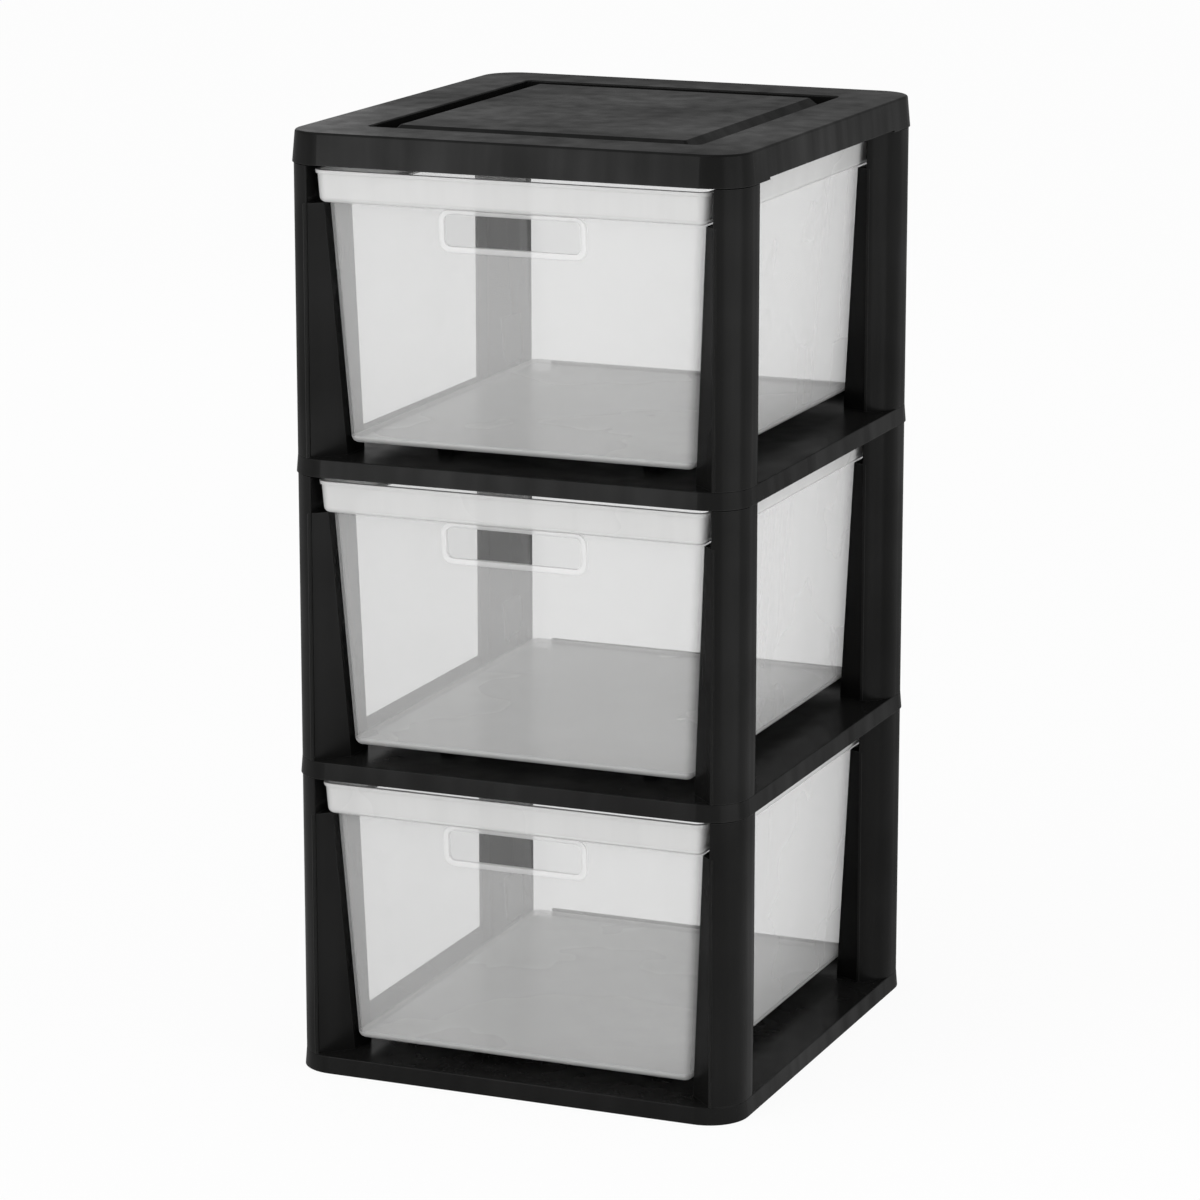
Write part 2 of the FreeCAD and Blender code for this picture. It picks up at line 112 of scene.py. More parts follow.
@dataclass(frozen=True)
class Noise:
    """Noise on the object's own coordinates."""

    detail: float
    roughness: float = 0.5

    def add(self, tree: bpy.types.NodeTree) -> bpy.types.ShaderNode:
        """Adds the noise to a node tree.

        Args:
            tree: The node tree.

        Returns:
            The noise's node.
        """
        node = tree.nodes.new("ShaderNodeTexNoise")
        node.inputs["Detail"].default_value = self.detail
        node.inputs["Roughness"].default_value = self.roughness
        return node


FINE_SKIN = Noise(detail=2.0, roughness=0.55)
BROAD_CLOUD = Noise(detail=3.0)
LONG_STREAK = Noise(detail=3.0)
DUST_PATCH = Noise(detail=6.0, roughness=0.7)


def mapped(tree: bpy.types.NodeTree, source: bpy.types.NodeSocket, low: float, high: float,
           from_low: float = 0.3, from_high: float = 0.7) -> bpy.types.NodeSocket:
    """Spreads a value over a new range and holds it there.

    Args:
        tree: The node tree.
        source: The value, from 0.3 to 0.7 where it is a noise.
        low: New value at the low end.
        high: New value at the high end.
        from_low: The source's low end.
        from_high: The source's high end.

    Returns:
        The socket with the spread value.
    """
    node = tree.nodes.new("ShaderNodeMapRange")
    node.inputs["From Min"].default_value = from_low
    node.inputs["From Max"].default_value = from_high
    node.inputs["To Min"].default_value = low
    node.inputs["To Max"].default_value = high
    tree.links.new(source, node.inputs["Value"])
    return node.outputs["Result"]


class NodeGroups:
    """Effects that several finishes share, each built once."""

    upward_normal: tuple[float, float] = (0.6, 1.0)  # Z of a normal, from no dust to full dust
    dust_noise: tuple[float, float] = (0.35, 0.75)  # noise, from bare patches to dusty ones
    turned_normal: tuple[float, float] = (0.99, 0.75)  # likeness of two normals, from no painted edge highlight to full painted edge highlight

    @staticmethod
    def start(name: str, inputs: dict[str, float],
              outputs: tuple[str, ...]) -> tuple[bpy.types.NodeTree, bpy.types.Node, bpy.types.Node]:
        """Makes an empty shader node group with float sockets.

        Args:
            name: Name of the group.
            inputs: Input sockets with their default values.
            outputs: Output sockets.

        Returns:
            The group's tree, its input node and its output node.
        """
        tree = bpy.data.node_groups.new(name, "ShaderNodeTree")
        for label, value in inputs.items():
            socket = tree.interface.new_socket(label, in_out="INPUT", socket_type="NodeSocketFloat")
            socket.default_value = value
        for label in outputs:
            tree.interface.new_socket(label, in_out="OUTPUT", socket_type="NodeSocketFloat")
        return tree, tree.nodes.new("NodeGroupInput"), tree.nodes.new("NodeGroupOutput")

    @classmethod
    def mould_grain(cls) -> bpy.types.NodeTree:
        """Fine pebbled skin of moulded plastic, with broad uneven shine.

        Returns:
            The group: Height is the skin, Cloud is the broad variation from 0 to 1.
        """
        tree, given, made = cls.start("mould grain", {"Fine Scale": 900.0, "Cloud Scale": 9.0},
                                      ("Height", "Cloud"))
        coord = tree.nodes.new("ShaderNodeTexCoord")
        fine = FINE_SKIN.add(tree)
        cloud = BROAD_CLOUD.add(tree)
        tree.links.new(coord.outputs["Object"], fine.inputs["Vector"])
        tree.links.new(coord.outputs["Object"], cloud.inputs["Vector"])
        tree.links.new(given.outputs["Fine Scale"], fine.inputs["Scale"])
        tree.links.new(given.outputs["Cloud Scale"], cloud.inputs["Scale"])
        tree.links.new(fine.outputs["Fac"], made.inputs["Height"])
        tree.links.new(cloud.outputs["Fac"], made.inputs["Cloud"])
        return tree

    @classmethod
    def flow_streaks(cls) -> bpy.types.NodeTree:
        """Long faint streaks, as molten plastic leaves along the way it ran.

        Returns:
            The group: Streak is from 0 to 1.
        """
        tree, given, made = cls.start("flow streaks", {"Across": 60.0, "Along": 3.0}, ("Streak",))
        coord = tree.nodes.new("ShaderNodeTexCoord")
        scale = tree.nodes.new("ShaderNodeCombineXYZ")
        stretch = tree.nodes.new("ShaderNodeVectorMath")
        stretch.operation = "MULTIPLY"
        noise = LONG_STREAK.add(tree)
        noise.inputs["Scale"].default_value = 1.0
        tree.links.new(given.outputs["Across"], scale.inputs["X"])
        tree.links.new(given.outputs["Across"], scale.inputs["Y"])
        tree.links.new(given.outputs["Along"], scale.inputs["Z"])
        tree.links.new(coord.outputs["Object"], stretch.inputs[0])
        tree.links.new(scale.outputs["Vector"], stretch.inputs[1])
        tree.links.new(stretch.outputs["Vector"], noise.inputs["Vector"])
        tree.links.new(noise.outputs["Fac"], made.inputs["Streak"])
        return tree

    @classmethod
    def settled_dust(cls) -> bpy.types.NodeTree:
        """Thin patchy dust on what faces up.

        Returns:
            The group: Mask is from 0 to 1.
        """
        tree, given, made = cls.start("settled dust", {"Amount": 0.3, "Patch Scale": 14.0}, ("Mask",))
        geometry = tree.nodes.new("ShaderNodeNewGeometry")
        split = tree.nodes.new("ShaderNodeSeparateXYZ")
        upward = mapped(tree, split.outputs["Z"], 0.0, 1.0, *cls.upward_normal)
        coord = tree.nodes.new("ShaderNodeTexCoord")
        noise = DUST_PATCH.add(tree)
        patches = mapped(tree, noise.outputs["Fac"], 0.0, 1.0, *cls.dust_noise)
        both = tree.nodes.new("ShaderNodeMath")
        both.operation = "MULTIPLY"
        amount = tree.nodes.new("ShaderNodeMath")
        amount.operation = "MULTIPLY"
        tree.links.new(geometry.outputs["Normal"], split.inputs["Vector"])
        tree.links.new(coord.outputs["Object"], noise.inputs["Vector"])
        tree.links.new(given.outputs["Patch Scale"], noise.inputs["Scale"])
        tree.links.new(upward, both.inputs[0])
        tree.links.new(patches, both.inputs[1])
        tree.links.new(both.outputs["Value"], amount.inputs[0])
        tree.links.new(given.outputs["Amount"], amount.inputs[1])
        tree.links.new(amount.outputs["Value"], made.inputs["Mask"])
        return tree

    @classmethod
    def painted_edge_highlight(cls) -> bpy.types.NodeTree:
        """Painted highlight: a thin lighter line along sharp edges, where the rounded normal leaves the
        true one.

        Returns:
            The group: Mask is from 0 to 1.
        """
        tree, given, made = cls.start("painted edge highlight", {"Amount": 1.0}, ("Mask",))
        tree.interface.new_socket("Rounded Normal", in_out="INPUT", socket_type="NodeSocketVector")
        geometry = tree.nodes.new("ShaderNodeNewGeometry")
        likeness = tree.nodes.new("ShaderNodeVectorMath")
        likeness.operation = "DOT_PRODUCT"
        turned = mapped(tree, likeness.outputs["Value"], 0.0, 1.0, *cls.turned_normal)
        amount = tree.nodes.new("ShaderNodeMath")
        amount.operation = "MULTIPLY"
        tree.links.new(given.outputs["Rounded Normal"], likeness.inputs[0])
        tree.links.new(geometry.outputs["Normal"], likeness.inputs[1])
        tree.links.new(turned, amount.inputs[0])
        tree.links.new(given.outputs["Amount"], amount.inputs[1])
        tree.links.new(amount.outputs["Value"], made.inputs["Mask"])
        return tree


@dataclass
class EffectGroups:
    """The shared node groups of this object."""

    grain: bpy.types.NodeTree = field(default_factory=NodeGroups.mould_grain)
    streaks: bpy.types.NodeTree = field(default_factory=NodeGroups.flow_streaks)
    dust: bpy.types.NodeTree = field(default_factory=NodeGroups.settled_dust)
    # mask of the painted highlight along sharp edges
    painted_edge_line: bpy.types.NodeTree = field(default_factory=NodeGroups.painted_edge_highlight)

    @staticmethod
    def place(tree: bpy.types.NodeTree, group: bpy.types.NodeTree,
              **values: float) -> bpy.types.ShaderNode:
        """Places a group in a material.

        Args:
            tree: The material's node tree.
            group: The shared group.
            **values: Input values, with underscores for the spaces of their names.

        Returns:
            The group's node.
        """
        node = tree.nodes.new("ShaderNodeGroup")
        node.node_tree = group
        for label, value in values.items():
            node.inputs[label.replace("_", " ").title()].default_value = value
        return node


@dataclass(frozen=True)
class FramePlastic:
    """Black satin moulded plastic: a matt base under an uneven gloss."""

    name: str = "frame plastic"
    base: tuple[float, float, float] = (0.0068, 0.0068, 0.0066)
    dusty: tuple[float, float, float] = (0.03, 0.03, 0.029)
    roughness_low: float = 0.5
    roughness_high: float = 0.7
    specular: float = 0.0
    gloss_low: float = 0.11
    gloss_high: float = 0.23
    streak_gloss_low: float = 0.75
    streak_gloss_high: float = 1.25
    gloss_roughness: float = 0.23
    # colour of the painted highlight along sharp edges
    edge_highlight_colour: tuple[float, float, float] = (0.04, 0.04, 0.039)
    edge_radius: float = 0.0009
    edge_samples: int = 6
    dust_amount: float = 0.25
    grain_depth: float = 0.00006
    streak_depth: float = 0.00012

    def material(self, effects: EffectGroups) -> bpy.types.Material:
        """Builds the finish.

        Args:
            effects: The shared node groups.

        Returns:
            The material.
        """
        material, shader = new_material(self.name)
        tree = material.node_tree
        grain = effects.place(tree, effects.grain)
        streaks = effects.place(tree, effects.streaks)
        dust = effects.place(tree, effects.dust, amount=self.dust_amount)
        colour = tree.nodes.new("ShaderNodeMix")
        colour.data_type = "RGBA"
        colour.inputs["A"].default_value = (*self.base, 1.0)
        colour.inputs["B"].default_value = (*self.dusty, 1.0)
        tree.links.new(dust.outputs["Mask"], colour.inputs["Factor"])
        soft_edge = tree.nodes.new("ShaderNodeBevel")
        soft_edge.samples = self.edge_samples
        soft_edge.inputs["Radius"].default_value = self.edge_radius
        # Painted highlight: a lighter colour laid along sharp edges, where the rounded normal turns
        # from the true one.
        painted_edge_mask = effects.place(tree, effects.painted_edge_line)
        tree.links.new(soft_edge.outputs["Normal"], painted_edge_mask.inputs["Rounded Normal"])
        edge_colour = tree.nodes.new("ShaderNodeMix")
        edge_colour.data_type = "RGBA"
        edge_colour.inputs["B"].default_value = (*self.edge_highlight_colour, 1.0)
        tree.links.new(painted_edge_mask.outputs["Mask"], edge_colour.inputs["Factor"])
        tree.links.new(colour.outputs["Result"], edge_colour.inputs["A"])
        tree.links.new(edge_colour.outputs["Result"], shader.inputs["Base Color"])
        shine = mapped(tree, grain.outputs["Cloud"], self.roughness_low, self.roughness_high)
        tree.links.new(shine, shader.inputs["Roughness"])
        skin = tree.nodes.new("ShaderNodeBump")
        skin.inputs["Distance"].default_value = self.grain_depth
        wave = tree.nodes.new("ShaderNodeBump")
        wave.inputs["Distance"].default_value = self.streak_depth
        tree.links.new(soft_edge.outputs["Normal"], skin.inputs["Normal"])
        tree.links.new(grain.outputs["Height"], skin.inputs["Height"])
        tree.links.new(streaks.outputs["Streak"], wave.inputs["Height"])
        tree.links.new(skin.outputs["Normal"], wave.inputs["Normal"])
        tree.links.new(wave.outputs["Normal"], shader.inputs["Normal"])
        broad_gloss = mapped(tree, grain.outputs["Cloud"], self.gloss_low, self.gloss_high)
        streak_gloss = mapped(tree, streaks.outputs["Streak"], self.streak_gloss_low,
                              self.streak_gloss_high)
        gloss = tree.nodes.new("ShaderNodeMath")
        gloss.operation = "MULTIPLY"
        tree.links.new(broad_gloss, gloss.inputs[0])
        tree.links.new(streak_gloss, gloss.inputs[1])
        tree.links.new(gloss.outputs["Value"], shader.inputs["Coat Weight"])
        shader.inputs["Specular IOR Level"].default_value = self.specular
        shader.inputs["Coat Roughness"].default_value = self.gloss_roughness
        return material


@dataclass(frozen=True)
class DrawerPlastic:
    """Hazy clear moulded plastic; its haze is the share that hides what is behind."""

    name: str
    base: tuple[float, float, float] = (0.76, 0.76, 0.755)
    haze_low: float = 0.212
    haze_high: float = 0.226
    slant_haze: float = 0.25
    slant_power: float = 3.0
    roughness_low: float = 0.22
    roughness_high: float = 0.34
    cloud_scale: float = 6.0
    streaks_across: float = 45.0
    streaks_along: float = 2.0
    grain_depth: float = 0.00002

    def material(self, effects: EffectGroups) -> bpy.types.Material:
        """Builds the finish.

        Args:
            effects: The shared node groups.

        Returns:
            The material.
        """
        material, shader = new_material(self.name)
        tree = material.node_tree
        grain = effects.place(tree, effects.grain, cloud_scale=self.cloud_scale)
        streaks = effects.place(tree, effects.streaks, across=self.streaks_across,
                                along=self.streaks_along)
        shader.inputs["Base Color"].default_value = (*self.base, 1.0)
        haze = mapped(tree, streaks.outputs["Streak"], self.haze_low, self.haze_high)
        slant = tree.nodes.new("ShaderNodeLayerWeight")
        steep = tree.nodes.new("ShaderNodeMath")
        steep.operation = "POWER"
        steep.inputs[1].default_value = self.slant_power
        total = tree.nodes.new("ShaderNodeMath")
        total.operation = "MULTIPLY_ADD"
        total.use_clamp = True
        total.inputs[1].default_value = self.slant_haze
        tree.links.new(slant.outputs["Facing"], steep.inputs[0])
        tree.links.new(steep.outputs["Value"], total.inputs[0])
        tree.links.new(haze, total.inputs[2])
        tree.links.new(total.outputs["Value"], shader.inputs["Alpha"])
        shine = mapped(tree, grain.outputs["Cloud"], self.roughness_low, self.roughness_high)
        tree.links.new(shine, shader.inputs["Roughness"])
        skin = tree.nodes.new("ShaderNodeBump")
        skin.inputs["Distance"].default_value = self.grain_depth
        tree.links.new(grain.outputs["Height"], skin.inputs["Height"])
        tree.links.new(skin.outputs["Normal"], shader.inputs["Normal"])
        return material


def backdrop_seen(tree: bpy.types.NodeTree) -> bpy.types.NodeSocket:
    """Joins the kinds of ray that see the backdrop itself.

    Args:
        tree: The node tree of a floor or of the world.

    Returns:
        A socket that is 1 for those rays and 0 for the rest.
    """
    path = tree.nodes.new("ShaderNodeLightPath")
    total = path.outputs[Ray.CAMERA.value]
    for ray in (Ray.GLOSSY, Ray.TRANSMISSION):
        highest = tree.nodes.new("ShaderNodeMath")
        highest.operation = "MAXIMUM"
        tree.links.new(total, highest.inputs[0])
        tree.links.new(path.outputs[ray.value], highest.inputs[1])
        total = highest.outputs["Value"]
    return total


@dataclass(frozen=True)
class FloorPaint:
    """Plain white studio floor that fades into the backdrop."""

    name: str = "studio floor"
    base: float = 0.86
    roughness: float = 0.9
    specular: float = 0.0
    whitening: float = 0.93

    def material(self) -> bpy.types.Material:
        """Builds the finish: a matt white, seen nearly as bright as the backdrop.

        Returns:
            The material.
        """
        material, shader = new_material(self.name)
        tree = material.node_tree
        shader.inputs["Base Color"].default_value = (self.base, self.base, self.base, 1.0)
        shader.inputs["Roughness"].default_value = self.roughness
        shader.inputs["Specular IOR Level"].default_value = self.specular
        white = tree.nodes.new("ShaderNodeEmission")
        white.inputs["Color"].default_value = WHITE
        blend = tree.nodes.new("ShaderNodeMixShader")
        share = mapped(tree, backdrop_seen(tree), 0.0, self.whitening, 0.0, 1.0)
        tree.links.new(share, blend.inputs["Fac"])
        tree.links.new(shader.outputs["BSDF"], blend.inputs[1])
        tree.links.new(white.outputs["Emission"], blend.inputs[2])
        tree.links.new(blend.outputs["Shader"], tree.nodes["Material Output"].inputs["Surface"])
        return material


@dataclass
class StudioCamera:
    """Camera at the photograph's own viewing angle."""

    location: tuple[float, float, float] = (1.2187, -2.9501, 1.0657)
    azimuth: float = 22.56
    elevation: float = 13.35
    lens: float = 141.28
    sensor: float = 36.0

    def build(self) -> None:
        """Makes the camera and sets it as the scene's own."""
        data = bpy.data.cameras.new("studio camera")
        data.lens = self.lens
        data.sensor_width = self.sensor
        camera = link_object(bpy.data.objects.new("studio camera", data))
        camera.location = self.location
        camera.rotation_euler = (math.radians(90.0 - self.elevation), 0.0, math.radians(self.azimuth))
        bpy.context.scene.camera = camera


@dataclass(frozen=True)
class Softbox:
    """One soft lamp of the studio."""

    name: str
    place: tuple[float, float, float]
    aim: tuple[float, float, float]
    size: tuple[float, float]
    power: float

    def build(self) -> None:
        """Hangs the lamp and turns it to what it lights."""
        data = bpy.data.lights.new(self.name, "AREA")
        data.shape = "RECTANGLE"
        data.size, data.size_y = self.size
        data.energy = self.power
        lamp = link_object(bpy.data.objects.new(self.name, data))
        lamp.location = self.place
        lamp.visible_camera = False
        direction = Vector(self.aim) - Vector(self.place)
        lamp.rotation_euler = direction.to_track_quat("-Z", "Y").to_euler()


@dataclass
class Studio:
    """Floor, backdrop and lamps.

    Where the backdrop is seen, it is white at the horizon and falls to the ceiling's level above.
    """

    floor_half: float = 30.0
    sky_light: float = 0.64
    ceiling: float = 0.5
    fade_height: float = 0.5
    sun_strength: float = 0.6
    sun_angle: float = 50.0
    sun_tilt: tuple[float, float, float] = (38.0, 0.0, -35.0)
    floor_paint: FloorPaint = FloorPaint()
    softboxes: tuple[Softbox, ...] = (
        Softbox("front softbox", place=(-0.76, -1.9, 0.72), aim=(0.0, -0.17, 0.72),
                size=(0.8, 1.4), power=11.0),
        Softbox("low rear softbox", place=(-1.9, 2.6, 1.35), aim=(-0.05, 0.0, 0.65),
                size=(0.9, 0.7), power=3.6),
        Softbox("right softbox", place=(0.934, -0.358, 0.5), aim=(0.16, -0.16, 0.5),
                size=(0.85, 1.0), power=3.0),
    )

    def build(self) -> None:
        """Makes the floor, the world and the lamps."""
        self.build_floor()
        self.build_world()
        data = bpy.data.lights.new("broad key", "SUN")
        data.energy = self.sun_strength
        data.angle = math.radians(self.sun_angle)
        key = link_object(bpy.data.objects.new("broad key", data))
        key.rotation_euler = tuple(math.radians(a) for a in self.sun_tilt)
        for softbox in self.softboxes:
            softbox.build()

    def build_floor(self) -> None:
        """Lays one large flat floor under the tower."""
        mesh = bpy.data.meshes.new("studio floor")
        plane = bmesh.new()
        bmesh.ops.create_grid(plane, x_segments=1, y_segments=1, size=self.floor_half)
        plane.to_mesh(mesh)
        plane.free()
        floor = link_object(bpy.data.objects.new("studio_floor", mesh))
        dress(floor, self.floor_paint.material())

    def build_world(self) -> None:
        """Makes a white backdrop that lights the tower at a plain level."""
        world = bpy.data.worlds.new("studio")
        world.use_nodes = True
        tree = world.node_tree
        background = tree.nodes["Background"]
        background.inputs["Color"].default_value = WHITE
        coord = tree.nodes.new("ShaderNodeTexCoord")
        split = tree.nodes.new("ShaderNodeSeparateXYZ")
        tree.links.new(coord.outputs["Generated"], split.inputs["Vector"])
        fade = mapped(tree, split.outputs["Z"], 1.0, self.ceiling, 0.0, self.fade_height)
        choice = tree.nodes.new("ShaderNodeMix")
        choice.inputs["A"].default_value = self.sky_light
        tree.links.new(backdrop_seen(tree), choice.inputs["Factor"])
        tree.links.new(fade, choice.inputs["B"])
        tree.links.new(choice.outputs["Result"], background.inputs["Strength"])
        bpy.context.scene.world = world


@dataclass
class FrameParts:
    """Cover, shelves and posts: the CAD's own solids in black plastic."""

    finish: FramePlastic = FramePlastic()

    def build(self, effects: EffectGroups) -> None:
        """Dresses every solid of the frame.

        Args:
            effects: The shared node groups.
        """
        material = self.finish.material(effects)
        for name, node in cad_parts.items():
            if name.endswith("_drawer"):
                continue
            dress(node, material)
            log.info("%s dressed in %s", name, self.finish.name)


@dataclass(frozen=True)
class Outline:
    """Rounded rectangle seen from above, at one level."""

    half_x: float
    front: float
    rear: float
    radius: float
    level: float

    def corner(self, side_x: int, side_y: int) -> Vector:
        """Gives the centre of one corner's arc.

        Args:
            side_x: -1 on the left, 1 on the right.
            side_y: -1 in front, 1 behind.

        Returns:
            The centre.
        """
        reach_y = self.rear - self.radius if side_y > 0 else self.front + self.radius
        return Vector((side_x * (self.half_x - self.radius), reach_y, self.level))

    def middle_y(self) -> float:
        """Gives the middle between front and rear."""
        return (self.front + self.rear) / 2.0

    def grown(self, growth: float, level: float) -> "Outline":
        """Gives this outline pushed outwards all round, at another level."""
        return Outline(self.half_x + growth, self.front - growth, self.rear + growth,
                       self.radius + growth, level)


def rounded_face(shape: bmesh.types.BMesh, low: tuple[float, float], high: tuple[float, float],
                 radius: float, segments: int, place: Matrix) -> bmesh.types.BMFace:
    """Makes a flat face with rounded corners.

    Args:
        shape: The mesh being made.
        low: Lowest corner in the face's own plane.
        high: Highest corner in the face's own plane.
        radius: Radius of its corners.
        segments: Edges in each corner.
        place: Carries the face's own plane to its place.

    Returns:
        The new face.
    """
    before = set(shape.faces)
    corners = bmesh.ops.create_grid(shape, x_segments=1, y_segments=1, size=0.5)["verts"]
    bmesh.ops.scale(shape, vec=(high[0] - low[0], high[1] - low[1], 1.0), verts=corners)
    middle = Vector(((low[0] + high[0]) / 2.0, (low[1] + high[1]) / 2.0, 0.0))
    bmesh.ops.translate(shape, vec=middle, verts=corners)
    bmesh.ops.bevel(shape, geom=corners, offset=radius, offset_type="OFFSET", segments=segments,
                    profile=0.5, affect="VERTICES", material=-1)
    face = next(f for f in shape.faces if f not in before)
    bmesh.ops.transform(shape, matrix=place, verts=list(face.verts))
    return face


def carry_corners(shape: bmesh.types.BMesh, verts: list[bmesh.types.BMVert], old: Outline,
                  new: Outline) -> None:
    """Moves points that lie on one outline to another, corner by corner.

    Args:
        shape: The mesh being made.
        verts: The points.
        old: The outline that they lie on.
        new: The outline that they go to.
    """
    growth = new.radius / old.radius
    for side_x in (-1, 1):
        for side_y in (-1, 1):
            corner = [v for v in verts
                      if v.co.x * side_x > 0.0 and (v.co.y - old.middle_y()) * side_y > 0.0]
            start = old.corner(side_x, side_y)
            bmesh.ops.scale(shape, vec=(growth, growth, 1.0), verts=corner,
                            space=Matrix.Translation(-start))
            bmesh.ops.translate(shape, vec=new.corner(side_x, side_y) - start, verts=corner)


def next_ring(shape: bmesh.types.BMesh, ring: list[bmesh.types.BMEdge], old: Outline,
              new: Outline) -> tuple[list[bmesh.types.BMEdge], list[bmesh.types.BMFace]]:
    """Draws a wall up from a ring of edges to the next outline.

    Args:
        shape: The mesh being made.
        ring: The ring's edges.
        old: The outline of the ring.
        new: The outline that the wall goes to.

    Returns:
        The new ring's edges and the wall's faces.
    """
    made = bmesh.ops.extrude_edge_only(shape, edges=ring)["geom"]
    verts = [g for g in made if isinstance(g, bmesh.types.BMVert)]
    carry_corners(shape, verts, old, new)
    fresh = set(verts)
    edges = [g for g in made
             if isinstance(g, bmesh.types.BMEdge) and g.verts[0] in fresh and g.verts[1] in fresh]
    return edges, [g for g in made if isinstance(g, bmesh.types.BMFace)]


def patch_wall(shape: bmesh.types.BMesh, wall: bmesh.types.BMFace,
               loop: list[bmesh.types.BMEdge]) -> None:
    """Replaces a flat wall by faces that run from its border to a closed loop in it.

    Args:
        shape: The mesh being made.
        wall: The wall's face.
        loop: The edges of the loop.
    """
    border = list(wall.edges)
    bmesh.ops.delete(shape, geom=[wall], context="FACES_ONLY")
    bmesh.ops.triangle_fill(shape, use_beauty=True, use_dissolve=False, edges=border + loop)


def lifted_off(shape: bmesh.types.BMesh, faces: list[bmesh.types.BMFace]) -> list[bmesh.types.BMVert]:
    """Extrudes faces in place and removes the ones that they rose from.

    Args:
        shape: The mesh being made.
        faces: The faces.

    Returns:
        The points of the new faces, still where the old ones were.
    """
    made = bmesh.ops.extrude_face_region(shape, geom=faces)["geom"]
    bmesh.ops.delete(shape, geom=faces, context="FACES")
    return [g for g in made if isinstance(g, bmesh.types.BMVert)]


class Zone(Enum):
    """Parts of a drawer's skin, by the material slot that each takes; the lip ends up as rim."""

    WALL = 0
    RIM = 1
    FLOOR = 2
    BEAD = 3
    PAD = 4
    LIP = 5


# One finish for each zone that keeps a slot of its own, in the order of the slots.
CLEAR_PLASTICS = (
    DrawerPlastic("clear wall"),
    DrawerPlastic("frosted rim", base=(0.69, 0.69, 0.685), haze_low=0.76, haze_high=0.82),
    DrawerPlastic("frosted floor", haze_low=0.5, haze_high=0.56),
    DrawerPlastic("bead", base=(0.88, 0.88, 0.875), haze_low=0.31, haze_high=0.35),
    DrawerPlastic("pad", base=(0.72, 0.72, 0.715), haze_low=0.265, haze_high=0.275),
)


